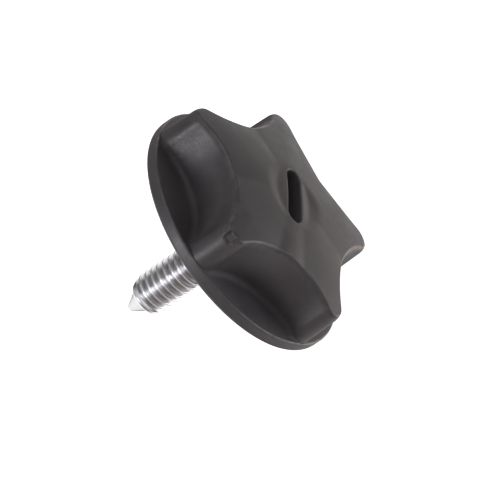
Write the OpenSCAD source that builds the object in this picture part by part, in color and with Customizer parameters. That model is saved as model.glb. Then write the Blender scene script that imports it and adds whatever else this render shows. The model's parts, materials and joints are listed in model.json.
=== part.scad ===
// Five-arm clamping handwheel: a moulded star grip on a full round flange, with a steel
// threaded stud moulded in. The origin is the centre of the flange's seating face, +Z runs
// along the axis towards the hub, and one arm and the slot lie along +Y.

/* [Flange] */
// Diameter of the flange
flange_dia = 47.6; // [44:0.1:50]
// Thickness of the flange under the scallops
flange_t = 2.6; // [2.2:0.1:3.2]

/* [Grip] */
// Height of the hub above the seating face
hub_h = 14.1; // [13:0.1:15]
// Distance from the axis to the centre of each scallop
scallop_dist = 32.5; // [32:0.1:33.2]
// Radius of each scallop at the flange
scallop_r = 17.1; // [16.5:0.1:17.6]
// Radius of the long curve from the hub to each arm tip
dome_r = 96; // [91:1:120]
// Radius of the crown across each arm
crown_r = 42; // [34:1:43]

/* [Slot] */
// Length of the slot in the hub
slot_len = 12.9; // [8:0.1:15]
// Width of the slot
slot_w = 3.3; // [2.4:0.1:3.6]
// Depth of the slot below the hub
slot_depth = 5; // [3:0.1:5.4]

/* [Stud] */
// Major diameter of the thread, 5/16 inch
stud_dia = 7.94; // [6:0.01:8.5]
// Length of the stud below the seating face
stud_len = 26.3; // [20:0.1:40]
// Width across the flats of the head inside the hub
head_flats = 12.7; // [11:0.1:13.5]

/* [Hidden] */
$fn = 96;
fine = 180; // facets of the widest curves
cut = 0.5; // overrun of every cutter

arms = 5;
arm_step = 360 / arms;
first_arm = 90; // direction of the arm that the slot points to
gate_arm = first_arm + 2 * arm_step;

flange_r = flange_dia / 2;
flange_top_round = 0.4;
flange_low_round = 0.8;

wall_draft = 1.4; // degrees from the axis
floor_round = 1.2; // between a scallop's wall and the flange
arm_inset = 0.25; // of the arm ends inside the flange's edge
nose_r = 3; // of each arm's end, seen from above
nose_over = 0.08; // of that round end beyond the arm's length, so that the two cross
tip_round = 1.6; // between an arm's top and its end
tip_over = 0.03; // of that rounding's circle above the ridge, so that the two cross
crest_round = 1.6; // between a scallop's wall and the top
crest_drop = 2.7; // from the hub down to where that rounding starts
crown_spread = 50; // of each arm's crown to either side, past the valley between two arms
crown_over = 2; // degrees by which the dome runs past the rim and the hub

trough_r = 46; // of the trough between the arm tops and the slot's boss
trough_depth = 0.8;
boss_rise = 0.05; // above the ridges of the arms
boss_len = 18;
boss_w = 9.6;
boss_crown_r = 14;

gate_size = 2; // square mark where the moulding gate was broken off
gate_depth = 0.5;
gate_tilt = 14;

relief_r = 5.2; // countersink in the seating face round the stud
relief_depth = 0.6;

stud_r = stud_dia / 2;
shank_r = 0.9 * stud_r; // of the plain shank inside the hub, thinner than the rolled thread
head_z = 2.4;
head_t = 5;
head_chamfer = 0.8;
lead_r = 0.83 * stud_r; // where the taper of the first threads ends
lead_len = 2.1;
bevel_len = 0.8; // of the steep shoulder between that taper and the cone point
point_r = 0.58 * stud_r;
point_end_r = 0.75;
point_half_angle = 30;

arm_h = hub_h - boss_rise;

// The rounding of an arm tip touches the end wall and crosses the ridge
arm_r = flange_r - arm_inset;
tip_cx = arm_r - tip_round;
tip_cz = arm_h - dome_r + sqrt(pow(dome_r - tip_round, 2) - tip_cx * tip_cx) + tip_over;
tip_slope = asin(tip_cx / (dome_r - tip_round));
tip_touch = [tip_cx + tip_round * sin(tip_slope), tip_cz + tip_round * cos(tip_slope)];

crest_z = hub_h - crest_drop;
crest_wall_r = scallop_r + (crest_z - flange_t) * tan(wall_draft);
crest_cx = crest_wall_r + crest_round;
crest_out_z = crest_z + crest_round;

// Round end of the cone point, which touches the cone
point_z = -stud_len + point_end_r;
point_touch = [point_end_r * cos(point_half_angle), point_z - point_end_r * sin(point_half_angle)];
point_top_z = point_touch[1] + (point_r - point_touch[0]) / tan(point_half_angle);
lead_end_z = point_top_z + bevel_len;

module around(count, start) {
    for (i = [0 : count - 1])
        rotate([0, 0, start + i * 360 / count]) children();
}

// Disc with both edges of its rim rounded
module flange() {
    rotate_extrude() {
        square([flange_r - flange_low_round, flange_t]);
        translate([0, flange_low_round])
            square([flange_r, flange_t - flange_low_round - flange_top_round]);
        translate([0, flange_t - flange_top_round])
            square([flange_r - flange_top_round, flange_top_round]);
        translate([flange_r - flange_low_round, flange_low_round]) circle(flange_low_round);
        translate([flange_r - flange_top_round, flange_t - flange_top_round])
            circle(flange_top_round);
    }
}

// Cylinder for the arm ends, with the tip rounding running into the slope of the ridge
module arm_envelope() {
    translate([0, 0, flange_t / 2])
        rotate_extrude() translate([0, -flange_t / 2]) {
            polygon([
                [0, flange_t / 2], [arm_r, flange_t / 2], [arm_r, tip_cz],
                tip_touch, [0, tip_touch[1] + tip_touch[0] * tan(tip_slope)]
            ]);
            translate([tip_cx, tip_cz]) circle(tip_round);
        }
}

// Round ends of the arms, seen from above, on a disc that the scallops open between them
module noses() {
    nose_dist = arm_r + nose_over - nose_r;
    cylinder(r = nose_dist + nose_r / 3, h = hub_h + cut, $fn = fine);
    around(arms, first_arm)
        translate([nose_dist, 0, 0]) cylinder(r = nose_r, h = hub_h + cut);
}

// Top of one arm along +X: domed from the hub outwards, crowned across the arm, and open
// where the boss stands
module arm_crown() {
    sweep = asin(flange_r / dome_r) + crown_over;
    reach = flange_r + cut;
    spread = reach * tan(crown_spread);
    difference() {
        intersection() {
            translate([0, 0, arm_h - dome_r]) rotate([90, 0, 0]) rotate([0, 0, 90 - sweep])
                rotate_extrude(angle = sweep + 2 * crown_over)
                    translate([dome_r - crown_r, 0]) circle(crown_r, $fn = fine);
            linear_extrude(hub_h) polygon([[0, 0], [reach, -spread], [reach, spread]]);
        }
        translate([0, 0, -cut]) cylinder(d = boss_w - 2 * cut, h = hub_h + 2 * cut);
    }
}

// Finger scallop along +X: a drafted wall with a rounding into the flange and a rounded crest
module scallop() {
    floor_r = scallop_r - floor_round;
    translate([scallop_dist, 0, flange_t]) rotate_extrude() {
        difference() {
            polygon([
                [0, 0], [scallop_r, 0], [crest_wall_r, crest_z - flange_t],
                [crest_cx, crest_z - flange_t], [crest_cx, crest_out_z - flange_t],
                [crest_cx + cut, crest_out_z - flange_t], [crest_cx + cut, hub_h], [0, hub_h]
            ]);
            difference() {
                translate([floor_r, -cut]) square([2 * floor_round, floor_round + cut]);
                translate([floor_r, floor_round]) circle(floor_round);
            }
            translate([crest_cx, crest_z - flange_t]) circle(crest_round);
        }
    }
}

module stadium(length, width) {
    for (side = [-1, 1])
        translate([0, side * (length - width) / 2]) circle(d = width);
    square([width, length - width], center = true);
}

module slot() {
    translate([0, 0, hub_h - slot_depth])
        linear_extrude(slot_depth + cut) stadium(slot_len, slot_w);
}

// Wide shallow trough along Y, in which the boss stands
module trough() {
    translate([0, 0, hub_h - trough_depth + trough_r]) rotate([90, 0, 0])
        cylinder(r = trough_r, h = flange_dia, center = true, $fn = fine);
}

// Low boss round the slot, domed along Y and crowned across it
module boss() {
    sweep = asin(boss_len / dome_r);
    intersection() {
        linear_extrude(hub_h + cut) stadium(boss_len, boss_w);
        translate([0, 0, hub_h - dome_r]) rotate([0, 90, 0]) rotate([0, 0, 180 - sweep])
            rotate_extrude(angle = 2 * sweep)
                translate([dome_r - boss_crown_r, 0]) circle(boss_crown_r);
    }
}

module gate_mark() {
    out = gate_size;
    rotate([0, 0, gate_arm]) translate([tip_cx, 0, tip_cz]) rotate([0, -gate_tilt, 0])
        translate([tip_round - gate_depth + out / 2, 0, 0])
            cube([out, gate_size, gate_size], center = true);
}

// Stud from its hexagonal head inside the hub to its cone point
module stud_solid() {
    head_r = head_flats / 2 / cos(30);
    intersection() {
        translate([0, 0, head_z]) cylinder(r = head_r, h = head_t, $fn = 6);
        translate([0, 0, head_z])
            rotate_extrude() polygon([
                [0, 0], [head_r, 0], [head_r, head_t - head_chamfer / 2],
                [head_r - head_chamfer, head_t], [0, head_t]
            ]);
    }
    rotate_extrude() {
        polygon([
            [0, head_z], [shank_r, head_z], [shank_r, 0], [stud_r, 0],
            [stud_r, lead_end_z + lead_len], [lead_r, lead_end_z],
            [point_r, point_top_z], point_touch, [0, point_touch[1]]
        ]);
        intersection() {
            translate([0, point_z]) circle(point_end_r);
            translate([0, -stud_len]) square([point_end_r, 2 * point_end_r]);
        }
    }
}

module star() {
    difference() {
        intersection() {
            arm_envelope();
            noses();
            around(arms, first_arm) arm_crown();
        }
        around(arms, first_arm + arm_step / 2) scallop();
        trough();
    }
    boss();
}

module grip() {
    color("#3a3a3c")
    difference() {
        union() {
            star();
            flange();
        }
        slot();
        gate_mark();
        stud_solid();
        translate([0, 0, -cut]) cylinder(r1 = relief_r + cut, r2 = relief_r, h = cut);
        cylinder(r1 = relief_r, r2 = shank_r, h = relief_depth);
    }
}

module stud() {
    color("#c9c9c6")
    stud_solid();
}

grip();
stud();
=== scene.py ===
import json
import math

import bpy
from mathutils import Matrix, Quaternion, Vector


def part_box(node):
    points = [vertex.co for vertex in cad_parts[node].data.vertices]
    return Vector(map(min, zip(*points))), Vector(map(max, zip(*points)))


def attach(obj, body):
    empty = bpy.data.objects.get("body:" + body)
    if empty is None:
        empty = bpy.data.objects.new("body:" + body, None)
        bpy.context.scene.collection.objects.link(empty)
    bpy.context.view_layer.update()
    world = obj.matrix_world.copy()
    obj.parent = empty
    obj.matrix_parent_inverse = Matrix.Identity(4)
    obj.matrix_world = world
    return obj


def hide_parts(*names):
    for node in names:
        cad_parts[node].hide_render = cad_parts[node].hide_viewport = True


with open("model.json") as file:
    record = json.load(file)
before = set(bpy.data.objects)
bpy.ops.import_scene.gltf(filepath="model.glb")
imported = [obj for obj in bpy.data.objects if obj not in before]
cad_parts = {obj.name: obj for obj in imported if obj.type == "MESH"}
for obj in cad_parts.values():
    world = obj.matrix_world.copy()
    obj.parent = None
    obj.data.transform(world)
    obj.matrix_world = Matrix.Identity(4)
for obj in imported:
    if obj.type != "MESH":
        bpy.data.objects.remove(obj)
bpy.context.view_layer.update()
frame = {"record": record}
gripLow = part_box("grip")[0]
studLow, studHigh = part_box("stud")
mounts = {mount["name"]: mount for mount in frame["record"]["mounts"]}

mm = 0.001
inch = 0.0254
degree = math.pi / 180
fullTurn = 2 * math.pi
quarter = fullTurn / 4
wholeTurns = 2 * fullTurn  # added to an angle before it is folded, so that it isn't negative
halfFlat = 30 * degree  # half of the angle that one flat of a hexagon spans
weld = 0.003 * mm  # distance at which the edges of two sheets become one
smoothAngle = 50 * degree  # edges sharper than this stay crisp
nearZero = 1e-4  # the least that a divisor may be
studRadius = mounts["stud"]["dims"]["r_mm"] * mm


# A number inside a node tree, so that a shape or a finish can be written as a formula
class Num:
    def __init__(self, tree, socket):
        self.tree = tree
        self.socket = socket

    def math(self, operation, *others):
        node = self.tree.nodes.new("ShaderNodeMath")
        node.operation = operation
        for slot, value in zip(node.inputs, (self, *others)):
            plug(self.tree, slot, value)
        return Num(self.tree, node.outputs[0])

    def __add__(self, other):
        return self.math("ADD", other)

    def __radd__(self, other):
        return self.math("ADD", other)

    def __sub__(self, other):
        return self.math("SUBTRACT", other)

    def __rsub__(self, other):
        return (self * -1) + other

    def __mul__(self, other):
        return self.math("MULTIPLY", other)

    def __truediv__(self, other):
        return self.math("DIVIDE", other)

    def __neg__(self):
        return self * -1

    def sin(self):
        return self.math("SINE")

    def cos(self):
        return self.math("COSINE")

    def sqrt(self):
        return self.math("SQRT")

    def abs(self):
        return self.math("ABSOLUTE")

    def least(self, other, blend=0):
        return self.math("SMOOTH_MIN", other, blend) if blend else self.math("MINIMUM", other)

    def most(self, other, blend=0):
        return self.math("SMOOTH_MAX", other, blend) if blend else self.math("MAXIMUM", other)

    def below(self, limit):
        return self.math("LESS_THAN", limit)

    def fold(self, half):
        return self.math("PINGPONG", half)

    # Start up to low, end from high on, and a soft change between them
    def ramp(self, low, high, start=0, end=1):
        node = self.tree.nodes.new("ShaderNodeMapRange")
        node.interpolation_type = "SMOOTHSTEP"
        for slot, value in zip(node.inputs, (self, low, high, start, end)):
            plug(self.tree, slot, value)
        return Num(self.tree, node.outputs[0])


def plug(tree, slot, value):
    if isinstance(value, Num):
        tree.links.new(value.socket, slot)
    else:
        slot.default_value = value


def mixed(chosen, yes, no):
    return no + (yes - no) * chosen if isinstance(yes, Num) else chosen * (yes - no) + no


def splitAxes(tree, vector):
    node = tree.nodes.new("ShaderNodeSeparateXYZ")
    tree.links.new(vector, node.inputs[0])
    return [Num(tree, slot) for slot in node.outputs]


def joinAxes(tree, values):
    node = tree.nodes.new("ShaderNodeCombineXYZ")
    for slot, value in zip(node.inputs, values):
        plug(tree, slot, value)
    return node.outputs[0]


def hypot(x, y):
    return (x * x + y * y).sqrt()


# The named inputs of a tree, each made when a formula first asks for it
class Inputs(dict):
    def __init__(self, name):
        self.tree = bpy.data.node_groups.new(name, "GeometryNodeTree")
        self.node = self.tree.nodes.new("NodeGroupInput")

    def __missing__(self, label):
        self.tree.interface.new_socket(label, in_out="INPUT", socket_type="NodeSocketFloat")
        self[label] = Num(self.tree, self.node.outputs[label])
        return self[label]


def closeGroup(inputs, kind, results):
    out = inputs.tree.nodes.new("NodeGroupOutput")
    for index, result in enumerate(results):
        inputs.tree.interface.new_socket(f"out{index}", in_out="OUTPUT", socket_type=kind)
        plug(inputs.tree, out.inputs[index], result)


# Adds a group to a tree, and feeds it from the values given and the tree's own named inputs
def addGroup(group, inputs, values):
    node = inputs.tree.nodes.new("GeometryNodeGroup")
    node.node_tree = group
    for slot in node.inputs:
        plug(inputs.tree, slot, values[slot.name] if slot.name in values else inputs[slot.name])
    return [Num(inputs.tree, slot) for slot in node.outputs]


# Turns a function of named inputs into a node group, used like a function in any other tree
def formula(build):
    own = Inputs(build.__name__)
    closeGroup(own, "NodeSocketFloat", build(own))

    def use(inputs, **values):
        found = addGroup(own.tree, inputs, values)
        return found if len(found) > 1 else found[0]

    return use


# A sheet of quads placed by a formula of how far round and how far along they are. The formula's
# fourth result is kept with each point as its wear and painted light.
def sheet(main, around, along, place):
    own = Inputs(place.__name__)
    tree = own.tree
    grid = tree.nodes.new("GeometryNodeMeshGrid")
    for slot, value in zip(grid.inputs, (1, 1, around + 1, along + 1)):
        slot.default_value = value
    flat = splitAxes(tree, tree.nodes.new("GeometryNodeInputPosition").outputs[0])
    x, y, z, wearAndPaintedLight = place(own, flat[0] + 0.5, flat[1] + 0.5)
    store = tree.nodes.new("GeometryNodeStoreNamedAttribute")
    store.inputs["Name"].default_value = "wearAndPaintedLight"
    tree.links.new(grid.outputs["Mesh"], store.inputs["Geometry"])
    plug(tree, store.inputs["Value"], wearAndPaintedLight)
    moved = tree.nodes.new("GeometryNodeSetPosition")
    tree.links.new(store.outputs[0], moved.inputs["Geometry"])
    tree.links.new(joinAxes(tree, (x, y, z)), moved.inputs["Position"])
    closeGroup(own, "NodeSocketGeometry", [Num(tree, moved.outputs[0])])
    return addGroup(tree, main, {})[0].socket


# Welds the sheets, turns their faces outwards, smooths them, and ends the tree
def closeShape(main, sheets, material):
    tree = main.tree
    join = tree.nodes.new("GeometryNodeJoinGeometry")
    for piece in sheets:
        tree.links.new(piece, join.inputs[0])
    merge = tree.nodes.new("GeometryNodeMergeByDistance")
    merge.inputs["Distance"].default_value = weld
    paint = tree.nodes.new("GeometryNodeSetMaterial")
    paint.inputs["Material"].default_value = material
    tree.interface.new_socket("Geometry", in_out="OUTPUT", socket_type="NodeSocketGeometry")
    kinds = ("FlipFaces", "SetShadeSmooth", "RealizeInstances")
    chain = [join, merge, *(tree.nodes.new("GeometryNode" + kind) for kind in kinds)]
    chain += [paint, tree.nodes.new("NodeGroupOutput")]
    for before, after in zip(chain, chain[1:]):
        tree.links.new(before.outputs[0], after.inputs[0])


# Runs a tree on an empty object and keeps the result as a plain mesh
def growPiece(name, main, sizes):
    seed = bpy.data.objects.new(name + "Seed", bpy.data.meshes.new(name + "Seed"))
    bpy.context.collection.objects.link(seed)
    modifier = seed.modifiers.new("shape", "NODES")
    modifier.node_group = main.tree
    for socket in main.tree.interface.items_tree:
        if socket.in_out == "INPUT":
            modifier[socket.identifier] = float(sizes[socket.name])
    graph = bpy.context.evaluated_depsgraph_get()
    mesh = bpy.data.meshes.new_from_object(seed.evaluated_get(graph))
    bpy.data.objects.remove(seed)
    mesh.name = name
    piece = bpy.data.objects.new(name, mesh)
    bpy.context.collection.objects.link(piece)
    mesh.set_sharp_from_angle(angle=smoothAngle)
    print(name, "has", len(mesh.polygons), "faces")
    return piece


# Finishes
def newMaterial(name):
    material = bpy.data.materials.new(name)
    material.use_nodes = True
    return material, material.node_tree, material.node_tree.nodes["Principled BSDF"]


noiseSpan = (0.3, 0.7)  # where most values of a noise lie


# Noise over the piece, from 0 to 1, as fine as the number of grains in a metre
def noise(tree, grains, detail, stretch=(1, 1, 1)):
    place = tree.nodes.new("ShaderNodeTexCoord")
    mapping = tree.nodes.new("ShaderNodeMapping")
    mapping.inputs["Scale"].default_value = stretch
    texture = tree.nodes.new("ShaderNodeTexNoise")
    texture.inputs["Scale"].default_value = grains
    texture.inputs["Detail"].default_value = detail
    tree.links.new(place.outputs["Object"], mapping.inputs["Vector"])
    tree.links.new(mapping.outputs[0], texture.inputs["Vector"])
    return Num(tree, texture.outputs[0])


def wearAndPaintedLightOf(tree):
    attribute = tree.nodes.new("ShaderNodeAttribute")
    attribute.attribute_name = "wearAndPaintedLight"
    return Num(tree, attribute.outputs["Fac"])


def blendColours(tree, chosen, first, second):
    blend = tree.nodes.new("ShaderNodeMix")
    blend.data_type = "RGBA"
    plug(tree, blend.inputs["Factor"], chosen)
    for slot, colour in (("A", first), ("B", second)):
        socket = next(end for end in blend.inputs if end.name == slot and end.type == "RGBA")
        if isinstance(colour, tuple):
            socket.default_value = (*colour, 1)
        else:
            tree.links.new(colour, socket)
    return next(end for end in blend.outputs if end.type == "RGBA")


def addBump(tree, height, depth, strength, under=None):
    bump = tree.nodes.new("ShaderNodeBump")
    bump.inputs["Distance"].default_value = depth
    bump.inputs["Strength"].default_value = strength
    plug(tree, bump.inputs["Height"], height)
    if under:
        tree.links.new(under, bump.inputs["Normal"])
    return bump.outputs[0]


# Each noise is given by its grains in a metre and its detail, and each bump by its depth and
# its strength
plasticLook = {
    "dark": (0.045, 0.044, 0.046),
    "light": (0.055, 0.0535, 0.0535),
    "rubbedAndHighlight": (0.085, 0.081, 0.08),
    "rubbedShare": 0.6,
    "rubbedSmooth": 0.08,
    "roughLow": 0.4,
    "roughHigh": 0.55,
    "shine": 0.5,
    "dullRough": 0.15,
    "cornerShadeShine": 0.16,
    "clouds": (260, 4),
    "cloudShare": 0.6,
    "scuffs": (700, 5),
    "scuffSpan": (0.35, 0.65),
    "grains": (2400, 3),
    "grainBump": (0.03 * mm, 0.6),
    "swells": (140, 1),
    "swellBump": (0.3 * mm, 0.35),
}


# Edges, with a kept value above 0, are rubbed paler and smoother; on the rim's top edge the paler
# rub is mostly a painted highlight. Corners, with a value below 0, are rougher and lose shine, a
# painted shade
def blackMoulding(look):
    material, tree, shader = newMaterial("blackMoulding")
    cloudy = noise(tree, *look["clouds"])
    grain = noise(tree, *look["grains"])
    wearAndPaintedLight = wearAndPaintedLightOf(tree)
    # Paler rubbed edges, which on the rim's top edge are mostly a painted highlight
    rubbedAndHighlight = wearAndPaintedLight.most(0) * noise(tree, *look["scuffs"]).ramp(*look["scuffSpan"])
    cornerShade = (-wearAndPaintedLight).most(0)
    body = blendColours(tree, cloudy.ramp(*noiseSpan), look["dark"], look["light"])
    colour = blendColours(tree, rubbedAndHighlight * look["rubbedShare"], body, look["rubbedAndHighlight"])
    tree.links.new(colour, shader.inputs["Base Color"])
    both = mixed(look["cloudShare"], cloudy, grain)
    rough = both.ramp(*noiseSpan, look["roughLow"], look["roughHigh"])
    rough = rough - rubbedAndHighlight * look["rubbedSmooth"] + cornerShade * look["dullRough"]
    plug(tree, shader.inputs["Roughness"], rough)
    # Painted shade: the corners lose shine
    plug(tree, shader.inputs["Specular IOR Level"], look["shine"] - cornerShade * look["cornerShadeShine"])
    swelling = addBump(tree, noise(tree, *look["swells"]), *look["swellBump"])
    grainy = addBump(tree, grain, *look["grainBump"], swelling)
    tree.links.new(grainy, shader.inputs["Normal"])
    return material


steelLook = {
    "crest": (0.82, 0.835, 0.84),
    "root": (0.44, 0.45, 0.455),
    "crestLightSpan": (0.15, 0.9),
    "clouds": (400, 3),
    "cloudShift": 0.5,
    "roughLow": 0.27,
    "roughHigh": 0.4,
    "streaks": (900, 4, (1, 1, 6)),  # six times as fine along the axis
    "streakBump": (0.01 * mm, 0.5),
}


# The steel is painted darker in the roots of the thread, where its kept value is 0, as painted
# shade, and paler on the crests as a painted highlight
def platedSteel(look):
    material, tree, shader = newMaterial("platedSteel")
    shader.inputs["Metallic"].default_value = 1
    streaks = noise(tree, *look["streaks"])
    # Painted shade in the roots and painted highlight on the crests, shifted by random clouds
    crestLight = wearAndPaintedLightOf(tree) + (noise(tree, *look["clouds"]) - 0.5) * look["cloudShift"]
    colour = blendColours(tree, crestLight.ramp(*look["crestLightSpan"]), look["root"], look["crest"])
    tree.links.new(colour, shader.inputs["Base Color"])
    rough = streaks.ramp(*noiseSpan, look["roughLow"], look["roughHigh"])
    plug(tree, shader.inputs["Roughness"], rough)
    tree.links.new(addBump(tree, streaks, *look["streakBump"]), shader.inputs["Normal"])
    return material


# Grip: five arms round a hub, on a full round flange
gripSizes = {
    "rimRadius": -gripLow.x,  # the side of the box that is nearest to the axis
    "flangeThick": 2.6 * mm,
    "rimTopRound": 0.4 * mm,
    "rimLowRound": 0.8 * mm,
    "rimTopLeast": 0.1 * mm,
    "rimGap": 0.02 * mm,
    "rimBlend": 0.1 * mm,
    "hubHeight": 14.1 * mm,
    "armHeight": 14.05 * mm,
    "domeRadius": 96 * mm,
    "crownRadius": 42 * mm,
    "valleySoft": 1.6 * degree,
    "scallopOut": 32.5 * mm,
    "scallopRadius": 17 * mm,
    "tipOut": 20.63 * mm,
    "wallDraft": 0.22 * mm,
    "floorRound": 1.2 * mm,
    "floorLeast": 0.05 * mm,
    "floorRoom": 0.8,
    "floorBlend": 0.2 * mm,
    "crestInset": 0.75 * mm,
    "crestDrop": 1.5 * mm,
    "tipInset": 0.65 * mm,
    "tipDrop": 2 * mm,
    "dishRadius": 38 * mm,
    "dishDepth": 0.85 * mm,
    "bossRadius": 13 * mm,
    "topBlend": 0.3 * mm,
    "slotHalfWidth": 1.65 * mm,
    "slotHalfRun": 4.8 * mm,
    "slotRound": 0.3 * mm,
    "slotDepth": 5 * mm,
    "slotDraft": 0.1 * mm,
    "reliefRadius": 5.2 * mm,
    "reliefDepth": 0.6 * mm,
    "shankRadius": 0.9 * studRadius,  # thinner than the thread that is rolled up from it
    "headLow": 2.4 * mm,
    "headHigh": 7.4 * mm,
    "headHalf": studHigh.y,
    "gateOut": 23.12 * mm,
    "gateHeight": 10.5 * mm,
    "gateHalf": 0.9 * mm,
    "gateDepth": 0.65 * mm,
    "gateSoft": 0.25 * mm,
    "gateTilt": 28 * degree,
}
arms = 5
armStep = fullTurn / arms
firstArm = 90 * degree
gateArm = firstArm + 2 * armStep
tipShare = 0.3  # of the points round an arm, those on its rounded tip
tipFade = (0.5 * tipShare, 0.18 * tipShare)  # where the tip's rounding starts, and is full
aroundArm = 120  # faces round each arm
# Wear and painted light of each sheet: the rim's top edge gets a painted highlight as a paler rub,
# and the corner's value below 0 paints shade into the rounding at the foot of the walls
edgeWearAndPaintedLight = {"slot": 0.2, "crest": 0.6, "crestTop": 0.4, "rimTop": 1.6, "rimLow": 0.6, "corner": -1}
fadeFrom = 5 / 6  # of the way out over the arm tops, where the wear of the crest starts


# Outline of the star: round tips between large scallops, with tangent joins
@formula
def starOutline(given):
    sector = given["turn"] * arms
    whole = sector.math("FLOOR")
    local = (sector - whole - 0.5) * 2
    share = local.abs()
    onTip = share.below(tipShare)
    centreX = given["scallopOut"] * math.cos(armStep / 2)
    centreY = given["scallopOut"] * math.sin(armStep / 2)
    joinAngle = centreY.math("ARCTAN2", centreX - given["tipOut"])
    tipRadius = hypot(centreX - given["tipOut"], centreY) - given["scallopRadius"]
    tipAngle = joinAngle * share / tipShare
    wallAngle = joinAngle + (armStep / 2 - joinAngle) * (share - tipShare) / (1 - tipShare)
    angle = mixed(onTip, tipAngle, wallAngle)
    reach = mixed(onTip, tipRadius, -given["scallopRadius"]) + given["offset"]
    x = mixed(onTip, given["tipOut"], centreX) + reach * angle.cos()
    y = ((1 - onTip) * centreY + reach * angle.sin()) * local.math("SIGN")
    return hypot(x, y), y.math("ARCTAN2", x) + whole * armStep + firstArm


# Height of the arm tops and the slot's boss at a point of the plan
@formula
def topHeight(given):
    radius, polar = given["radius"], given["polar"]
    toValley = armStep / 2 - (polar - firstArm + wholeTurns).fold(armStep / 2)
    turned = armStep / 2 - hypot(toValley, given["valleySoft"])
    across = radius * turned.sin()
    out = radius * turned.cos()
    crown = given["crownRadius"]
    tube = given["domeRadius"] - crown + (crown * crown - across * across).sqrt()
    ridge = given["armHeight"] - given["domeRadius"] + (tube * tube - out * out).sqrt()
    x, y = radius * polar.cos(), radius * polar.sin()
    bowl = given["dishRadius"]
    dish = given["hubHeight"] - given["dishDepth"] + bowl - (bowl * bowl - radius * radius).sqrt()
    bossCrown = given["bossRadius"]
    bossTube = given["domeRadius"] - bossCrown + (bossCrown * bossCrown - x * x).sqrt()
    boss = given["hubHeight"] - given["domeRadius"] + (bossTube * bossTube - y * y).sqrt()
    return [ridge.least(dish, given["topBlend"]).most(boss, given["topBlend"])]


# Distance from the axis to the slot's edge: its straight sides, or its round ends
@formula
def slotReach(given):
    half = given["slotHalfWidth"] + given["offset"]
    run = given["slotHalfRun"]
    over, up = given["polar"].cos().abs().most(nearZero), given["polar"].sin().abs()
    straight = half / over
    end = run * up + (half * half - run * run * over * over).most(0).sqrt()
    return [mixed((straight * up).below(run), straight, end)]


# How far the rounding at the top edge reaches in and down: further down at the arm tips
@formula
def crestSizes(given):
    tip = ((given["turn"] * arms).math("FRACT") - 0.5).abs().ramp(*tipFade)
    inset = mixed(tip, given["tipInset"], given["crestInset"])
    return inset, mixed(tip, given["tipDrop"], given["crestDrop"])


# A point of that rounding, from its inner edge to the top of the wall
@formula
def crestPoint(given):
    inset, drop = crestSizes(given)
    angle = given["along"] * quarter
    innerRadius, innerPolar = starOutline(given, offset=-given["wallDraft"] - inset)
    radius, polar = starOutline(given, offset=-given["wallDraft"] - inset * (1 - angle.sin()))
    top = topHeight(given, radius=innerRadius, polar=innerPolar)
    return radius, polar, top - drop * (1 - angle.cos())


@formula
def topOutline(given):
    return starOutline(given, offset=-given["wallDraft"] - crestSizes(given)[0])


# The rounding into the flange, which is smaller where an arm tip comes near the rim
@formula
def floorSize(given):
    edge = starOutline(given, offset=0)[0]
    room = (given["rimRadius"] - given["rimTopRound"] - edge) * given["floorRoom"]
    size = room.most(given["floorLeast"], given["floorBlend"])
    return [size.least(given["floorRound"], given["floorBlend"])]


# Outer edge of the rounding below the star, and where the rim's upper rounding starts
@formula
def rimStart(given):
    radius, polar = starOutline(given, offset=floorSize(given))
    start = given["rimRadius"] - given["rimTopRound"]
    start = start.most(radius + given["rimGap"], given["rimBlend"])
    return radius, polar, start.least(given["rimRadius"] - given["rimTopLeast"])


def ring(radius, polar, z, wearAndPaintedLight=0):
    return radius * polar.cos(), radius * polar.sin(), z, wearAndPaintedLight


# Wear and painted light that is full in the middle of a sheet and none at both its edges
def hump(run, full):
    return (run * math.pi).sin() * full


# The square mark on one arm's end, where the moulding gate was broken off: what stands in front
# of its floor is pushed back to it
@formula
def gateDent(given):
    turned = given["polar"] - gateArm
    out, across = given["radius"] * turned.cos(), given["radius"] * turned.sin()
    lean, rise = given["gateTilt"].cos(), given["gateTilt"].sin()
    over, up = out - given["gateOut"], given["height"] - given["gateHeight"]
    side = (given["gateHalf"] + given["gateSoft"], given["gateHalf"] - given["gateSoft"])
    inside = across.abs().ramp(*side) * (up * lean - over * rise).abs().ramp(*side)
    push = (over * lean + up * rise + given["gateDepth"]).most(0) * inside
    pushed = out - push * lean
    angle = across.math("ARCTAN2", pushed) + gateArm
    return hypot(pushed, across), angle, given["height"] - push * rise


def dented(given, radius, polar, z, wearAndPaintedLight):
    return ring(*gateDent(given, radius=radius, polar=polar, height=z), wearAndPaintedLight)


# Each sheet of the grip, from the slot over the arms and the rim to the head inside
def slotFloor(given, turn, run):
    polar = topOutline(given, turn=turn)[1]
    reach = slotReach(given, polar=polar, offset=-given["slotDraft"])
    x, y, z, wearAndPaintedLight = ring(reach, polar, given["hubHeight"] - given["slotDepth"])
    core = y.most(-given["slotHalfRun"]).least(given["slotHalfRun"])
    return x * run, core + (y - core) * run, z, wearAndPaintedLight


def slotWall(given, turn, run):
    polar = topOutline(given, turn=turn)[1]
    edge = slotReach(given, polar=polar, offset=given["slotRound"])
    high = topHeight(given, radius=edge, polar=polar) - given["slotRound"]
    reach = slotReach(given, polar=polar, offset=(run - 1) * given["slotDraft"])
    return ring(reach, polar, mixed(run, high, given["hubHeight"] - given["slotDepth"]))


def slotEdge(given, turn, run):
    polar = topOutline(given, turn=turn)[1]
    angle = run * quarter
    edge = slotReach(given, polar=polar, offset=given["slotRound"])
    reach = slotReach(given, polar=polar, offset=given["slotRound"] * (1 - angle.cos()))
    z = topHeight(given, radius=edge, polar=polar) - given["slotRound"] * (1 - angle.sin())
    return ring(reach, polar, z, hump(run, edgeWearAndPaintedLight["slot"]))


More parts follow.
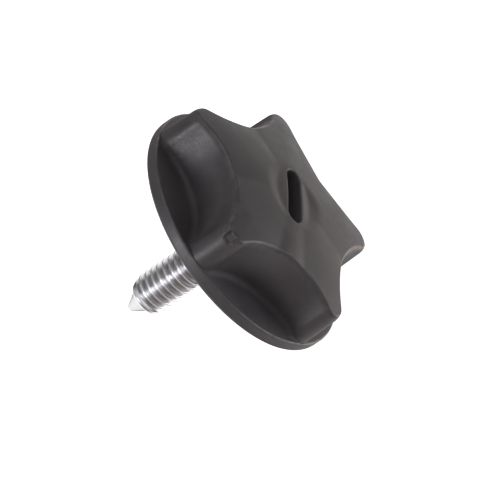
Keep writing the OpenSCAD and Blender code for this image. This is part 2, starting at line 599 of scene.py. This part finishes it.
def armTops(given, turn, run):
    outer, polar = topOutline(given, turn=turn)
    radius = mixed(run, outer, slotReach(given, polar=polar, offset=given["slotRound"]))
    wearAndPaintedLight = (run - fadeFrom).most(0) / (1 - fadeFrom) * edgeWearAndPaintedLight["crestTop"]
    return dented(given, radius, polar, topHeight(given, radius=radius, polar=polar), wearAndPaintedLight)


def crest(given, turn, run):
    wearAndPaintedLight = hump(run, edgeWearAndPaintedLight["crest"]) + (1 - run) * edgeWearAndPaintedLight["crestTop"]
    return dented(given, *crestPoint(given, turn=turn, along=run), wearAndPaintedLight)


def wall(given, turn, run):
    high = crestPoint(given, turn=turn, along=1)[2]
    radius, polar = starOutline(given, turn=turn, offset=given["wallDraft"] * (run - 1))
    z = mixed(run, given["flangeThick"] + floorSize(given, turn=turn), high)
    return dented(given, radius, polar, z, 0)


def floorFillet(given, turn, run):
    size = floorSize(given, turn=turn)
    angle = run * quarter
    radius, polar = starOutline(given, turn=turn, offset=size * (1 - angle.cos()))
    z = given["flangeThick"] + size * (1 - angle.sin())
    # Painted shade: this rounding loses shine in its middle
    return ring(radius, polar, z, hump(run, edgeWearAndPaintedLight["corner"]))


def flangeTop(given, turn, run):
    radius, polar, start = rimStart(given, turn=turn)
    return ring(mixed(run, start, radius), polar, given["flangeThick"])


def rimTop(given, turn, run):
    polar, start = rimStart(given, turn=turn)[1:]
    size = given["rimRadius"] - start
    angle = run * quarter
    z = given["flangeThick"] - size * (1 - angle.cos())
    # The rim's top edge is painted paler, mostly as a painted highlight
    return ring(start + size * angle.sin(), polar, z, hump(run, edgeWearAndPaintedLight["rimTop"]))


def rimWall(given, turn, run):
    polar, start = rimStart(given, turn=turn)[1:]
    high = given["flangeThick"] - (given["rimRadius"] - start)
    return ring(given["rimRadius"], polar, mixed(run, given["rimLowRound"], high))


def rimLow(given, turn, run):
    polar = rimStart(given, turn=turn)[1]
    angle = run * quarter
    low = given["rimLowRound"]
    radius = given["rimRadius"] - low * (1 - angle.cos())
    return ring(radius, polar, low * (1 - angle.sin()), hump(run, edgeWearAndPaintedLight["rimLow"]))


def underside(given, turn, run):
    polar = rimStart(given, turn=turn)[1]
    outer = given["rimRadius"] - given["rimLowRound"]
    return ring(mixed(run, given["reliefRadius"], outer), polar, 0)


def relief(given, turn, run):
    polar = rimStart(given, turn=turn)[1]
    radius = mixed(run, given["shankRadius"], given["reliefRadius"])
    return ring(radius, polar, given["reliefDepth"] * run)


def bore(given, turn, run):
    polar = rimStart(given, turn=turn)[1]
    return ring(given["shankRadius"], polar, mixed(run, given["headLow"], given["reliefDepth"]))


# Distance from the axis to a side of the stud's head
@formula
def hexagon(given):
    return [given["headHalf"] / (given["polar"] + halfFlat + wholeTurns).fold(halfFlat).cos()]


def headSeat(given, turn, run):
    polar = rimStart(given, turn=turn)[1]
    radius = mixed(run, hexagon(given, polar=polar), given["shankRadius"])
    return ring(radius, polar, given["headLow"])


def headWall(given, turn, run):
    polar = rimStart(given, turn=turn)[1]
    return ring(hexagon(given, polar=polar), polar, mixed(run, given["headHigh"], given["headLow"]))


def headTop(given, turn, run):
    polar = rimStart(given, turn=turn)[1]
    return ring(hexagon(given, polar=polar) * (1 - run), polar, given["headHigh"])


# The parts are the sheets, each with its number of rows of faces
def growGrip(material):
    main = Inputs("gripShape")
    parts = [
        (slotFloor, 3), (slotWall, 8), (slotEdge, 4), (armTops, 40), (crest, 14), (wall, 12),
        (floorFillet, 6), (flangeTop, 8), (rimTop, 4), (rimWall, 3), (rimLow, 6), (underside, 10),
        (relief, 3), (bore, 3), (headSeat, 2), (headWall, 3), (headTop, 4),
    ]
    sheets = [sheet(main, arms * aroundArm, along, place) for place, along in parts]
    closeShape(main, sheets, material)
    return growPiece("gripBody", main, gripSizes)


# Stud: a right-hand thread rolled on a shank, with a hexagonal head inside the hub
studSizes = {
    "thickRadius": studRadius,
    "thinRadius": 3.24 * mm,
    "shankRadius": gripSizes["shankRadius"],
    "pitch": inch / 18,
    "flankAngle": 30 * degree,
    "crestOver": 0.19,  # of the pitch, that the sharp crests would stand above the rounded ones
    "crestRound": 0.12 * mm,
    "rootRound": 0.16 * mm,
    "runOut": gripSizes["reliefDepth"],
    "shankTop": gripSizes["headLow"],
    "threadTop": 1.1 * mm,
    "tipZ": studLow.z,
    "tipRound": 0.75 * mm,
    "coneTilt": 30 * degree,
    "coneRadius": 2.3 * mm,
    "bevelSlope": 1.25,
    "leadSlope": 0.319,
    "leadRadius": 3.04 * mm,
    "leadBlend": 0.1 * mm,
    "pointBlend": 0.04 * mm,
    "coneFrom": 5 * mm,  # above the tip, where the plain cone's fixed painted light starts
    "coneFull": 4 * mm,
    "headHigh": gripSizes["headHigh"],
    "headHalf": gripSizes["headHalf"],
    "headChamfer": 0.8 * mm,
    "chamferSlope": 0.5,
}
# Fixed painted light of the plain cone, and of the shank and head, where the thread's painted shade
# and highlight don't reach
coneLight = 0.9
plainLight = 0.6  # of the shank and the head, inside the moulding
aroundStud = 120  # faces round the stud
rowsPerPitch = 16
pitches = math.ceil((studSizes["threadTop"] - studSizes["tipZ"]) / studSizes["pitch"]) + 2


# Radius of the solid cone point, and of the lead above it that takes the crests off the thread
@formula
def pointLimit(given):
    z = given["z"]
    ballZ = given["tipZ"] + given["tipRound"]
    touchZ = ballZ - given["tipRound"] * given["coneTilt"].sin()
    touchRadius = given["tipRound"] * given["coneTilt"].cos()
    cone = touchRadius + (z - touchZ) * given["coneTilt"].math("TANGENT")
    ball = (given["tipRound"] * given["tipRound"] - (z - ballZ) * (z - ballZ)).most(0).sqrt()
    coneTop = touchZ + (given["coneRadius"] - touchRadius) / given["coneTilt"].math("TANGENT")
    bevel = given["coneRadius"] + (z - coneTop) * given["bevelSlope"]
    lead = given["leadRadius"] + (z - coneTop) * given["leadSlope"]
    return [mixed(z.below(touchZ), ball, cone.most(bevel.least(lead, given["leadBlend"])))]


# The rows climb by one pitch in a turn, and are held level at both ends of the thread
def thread(given, turn, run):
    down = run * pitches
    z = given["threadTop"] + given["pitch"] * (1 + turn - down)
    z = z.least(given["threadTop"]).most(given["tipZ"])
    height = down.fold(0.5) * 2
    sharpDepth = given["pitch"] / (given["flankAngle"].math("TANGENT") * 2)
    flank = given["thickRadius"] + given["pitch"] * given["crestOver"] - sharpDepth * (1 - height)
    profile = flank.most(given["thinRadius"], given["rootRound"])
    profile = profile.least(given["thickRadius"], given["crestRound"])
    profile = mixed(z.ramp(0, given["runOut"]), given["shankRadius"], profile)
    radius = profile.least(pointLimit(given, z=z), given["pointBlend"])
    # Depth in the thread, which paints the roots darker as shade and the crests paler as highlight
    wearAndPaintedLight = (radius - given["thinRadius"]) / (given["thickRadius"] - given["thinRadius"])
    onCone = z.ramp(given["tipZ"] + given["coneFrom"], given["tipZ"] + given["coneFull"])
    return ring(radius, turn * fullTurn, z, wearAndPaintedLight.most(onCone * coneLight))


def shank(given, turn, run):
    z = mixed(run, given["threadTop"], given["shankTop"])
    return ring(given["shankRadius"], turn * fullTurn, z, plainLight)


def headUnder(given, turn, run):
    polar = turn * fullTurn
    reach = mixed(run, given["shankRadius"], hexagon(given, polar=polar))
    return ring(reach, polar, given["shankTop"], plainLight)


# How far a point of the head lies outside the circle where its chamfer starts
def pastChamfer(given, reach):
    corner = given["headHalf"] / math.cos(halfFlat)
    return (reach - corner + given["headChamfer"]).most(0)


def headSide(given, turn, run):
    polar = turn * fullTurn
    flat = hexagon(given, polar=polar)
    high = given["headHigh"] - pastChamfer(given, flat) * given["chamferSlope"]
    return ring(flat, polar, mixed(run, given["shankTop"], high), plainLight)


def headCrown(given, turn, run):
    polar = turn * fullTurn
    flat = hexagon(given, polar=polar)
    reach = mixed(run, flat, flat - pastChamfer(given, flat))
    z = given["headHigh"] - pastChamfer(given, reach) * given["chamferSlope"]
    return ring(reach, polar, z, plainLight)


def headDisc(given, turn, run):
    polar = turn * fullTurn
    flat = hexagon(given, polar=polar)
    return ring((flat - pastChamfer(given, flat)) * run, polar, given["headHigh"], plainLight)


def growStud(material):
    main = Inputs("studShape")
    parts = [
        (thread, rowsPerPitch * pitches), (shank, 4), (headUnder, 3), (headSide, 4),
        (headCrown, 2), (headDisc, 3),
    ]
    sheets = [sheet(main, aroundStud, along, place) for place, along in parts]
    closeShape(main, sheets, material)
    return growPiece("studBody", main, studSizes)


plastic = blackMoulding(plasticLook)
steel = platedSteel(steelLook)
print("finishes made:", plastic.name, "and", steel.name)
for piece, node, slot in (
    (growGrip(plastic), "grip", "black_moulding"),
    (growStud(steel), "stud", "plated_steel"),
):
    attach(piece, "root")
    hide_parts(node)


# Camera, floor and light: a direction is an azimuth from +X and an elevation, both in degrees
def towards(azimuth, elevation):
    flat = math.cos(elevation * degree)
    x, y = math.cos(azimuth * degree) * flat, math.sin(azimuth * degree) * flat
    return Vector((x, y, math.sin(elevation * degree)))


cameraView = {
    "azimuth": -125.27,
    "elevation": 26.92,
    "roll": 55.77,
    "distance": 1.0115,
    "right": 1.177 * mm,
    "up": -1.52 * mm,
    "lens": 420,
    "sensor": 36,
    "nearest": 0.05,
    "furthest": 40,
}


def aimCamera(view):
    data = bpy.data.cameras.new("camera")
    data.lens, data.sensor_width = view["lens"], view["sensor"]
    data.clip_start, data.clip_end = view["nearest"], view["furthest"]
    camera = bpy.data.objects.new("camera", data)
    bpy.context.collection.objects.link(camera)
    back = towards(view["azimuth"], view["elevation"])
    turn = back.to_track_quat("Z", "Y") @ Quaternion((0, 0, 1), view["roll"] * degree)
    camera.rotation_mode = "QUATERNION"
    camera.rotation_quaternion = turn
    camera.location = turn @ Vector((view["right"], view["up"], view["distance"]))
    bpy.context.scene.camera = camera


# Share of a soft light in the direction way: 1 towards the light's middle, and 0 where the
# cosine of the angle from there is edge or less
def lobe(way, azimuth, elevation, edge):
    x, y, z = way
    middle = towards(azimuth, elevation)
    return (x * middle.x + y * middle.y + z * middle.z).ramp(edge, 1)


# Adds up coloured lights, each with its share, over a grey level
def mixLights(tree, level, lights):
    totals = []
    for channel in range(3):
        total = level
        for share, colour in lights:
            total = share * colour[channel] + total
        totals.append(total)
    return joinAxes(tree, totals)


# Azimuth, elevation and edge of what the camera sees past the object
behind = (55, 0, math.cos(26 * degree))


# 1 for the camera's rays, and for reflected and transmitted rays where they go to what lies
# behind the object
def whiteRays(tree, way):
    path = tree.nodes.new("ShaderNodeLightPath")
    kinds = ("Camera", "Glossy", "Transmission")
    camera, glossy, through = [Num(tree, path.outputs[f"Is {kind} Ray"]) for kind in kinds]
    return (camera + (glossy + through) * lobe(way, *behind)).least(1)


# A table under the object, pale to the camera, that glows right below it and on three sides
floorLook = {
    "side": 12,
    "height": -0.3,
    "rough": 0.9,
    "shown": 0.85,
    "pale": 0.6,
    "level": 0.045,
    "under": 1.0,
    "underFull": 0.15,
    "glowFrom": 0.3,
    "glowFull": 0.65,
    "glowEdge": 0.2,
    "glows": {0: (0.7, 0.71, 0.71), 120: (0.36, 0.33, 0.29), 300: (0.7, 0.57, 0.57)},
}


def makeFloor(look):
    half = look["side"] / 2
    corners = [(-half, -half), (half, -half), (half, half), (-half, half)]
    mesh = bpy.data.meshes.new("paleFloor")
    mesh.from_pydata([(x, y, look["height"]) for x, y in corners], [], [(0, 1, 2, 3)])
    floor = bpy.data.objects.new("paleFloor", mesh)
    bpy.context.collection.objects.link(floor)
    material, tree, shader = newMaterial("paleFloor")
    shader.inputs["Roughness"].default_value = look["rough"]
    shader.inputs["Specular IOR Level"].default_value = 0
    x, y = splitAxes(tree, tree.nodes.new("ShaderNodeTexCoord").outputs["Object"])[:2]
    reach = hypot(x, y).most(mm)
    way = (x / reach, y / reach, 0)
    seen = whiteRays(tree, way)
    away = reach.ramp(look["glowFrom"], look["glowFull"])
    sides = [
        (lobe(way, azimuth, 0, look["glowEdge"]) * away, colour)
        for azimuth, colour in look["glows"].items()
    ]
    under = reach.ramp(look["underFull"], look["glowFrom"], look["under"], 0)
    glow = mixLights(tree, under + look["level"], sides)
    shown, pale = [(look[key],) * 3 for key in ("shown", "pale")]
    tree.links.new(blendColours(tree, seen, glow, shown), shader.inputs["Emission Color"])
    tree.links.new(blendColours(tree, seen, (0, 0, 0), pale), shader.inputs["Base Color"])
    shader.inputs["Emission Strength"].default_value = 1
    mesh.materials.append(material)


# White to the camera, and to all else a dim room with windows, by azimuth and elevation
worldLook = {
    "level": 0.05,
    "edge": math.cos(38 * degree),
    "windows": {
        (45, 8): (0.7, 0.585, 0.43),
        (90, 8): (1.4, 1.32, 1.42),
        (0, 38): (3.1, 2.95, 3.15),
        (180, 38): (1.31, 1.21, 1.28),
        (240, 38): (0.54, 0.49, 0.5),
    },
}


def makeWorld(look):
    world = bpy.data.worlds.new("studio")
    world.use_nodes = True
    tree = world.node_tree
    way = splitAxes(tree, tree.nodes.new("ShaderNodeTexCoord").outputs["Generated"])
    windows = look["windows"].items()
    shares = [(lobe(way, *place, look["edge"]), colour) for place, colour in windows]
    room = mixLights(tree, look["level"], shares)
    shown = blendColours(tree, whiteRays(tree, way), room, (1, 1, 1))
    tree.links.new(shown, tree.nodes["Background"].inputs["Color"])
    bpy.context.scene.world = world


# Soft boxes that face the origin, each by its direction from there
lamps = {
    "strip": {
        "azimuth": 218,
        "elevation": -22,
        "width": 0.11,
        "height": 0.2,
        "power": 0.9,
        "colour": (0.97, 0.93, 1),
    },
    "sideBox": {
        "azimuth": 20,
        "elevation": 5,
        "width": 0.25,
        "height": 0.25,
        "power": 0.3,
        "colour": (1, 0.84, 0.7),
    },
}
lampDistance = 0.42


def makeLamp(name, lamp):
    light = bpy.data.lights.new(name, "AREA")
    light.shape = "RECTANGLE"
    light.size, light.size_y = lamp["width"], lamp["height"]
    light.energy = lamp["power"]
    light.color = lamp["colour"]
    lampObject = bpy.data.objects.new(name, light)
    bpy.context.collection.objects.link(lampObject)
    away = towards(lamp["azimuth"], lamp["elevation"])
    lampObject.location = away * lampDistance
    lampObject.rotation_euler = away.to_track_quat("Z", "Y").to_euler()
    lampObject.visible_camera = False


aimCamera(cameraView)
makeFloor(floorLook)
makeWorld(worldLook)
for name, lamp in lamps.items():
    makeLamp(name, lamp)
bpy.context.scene.view_settings.view_transform = "Standard"
print("camera, floor and light are placed")
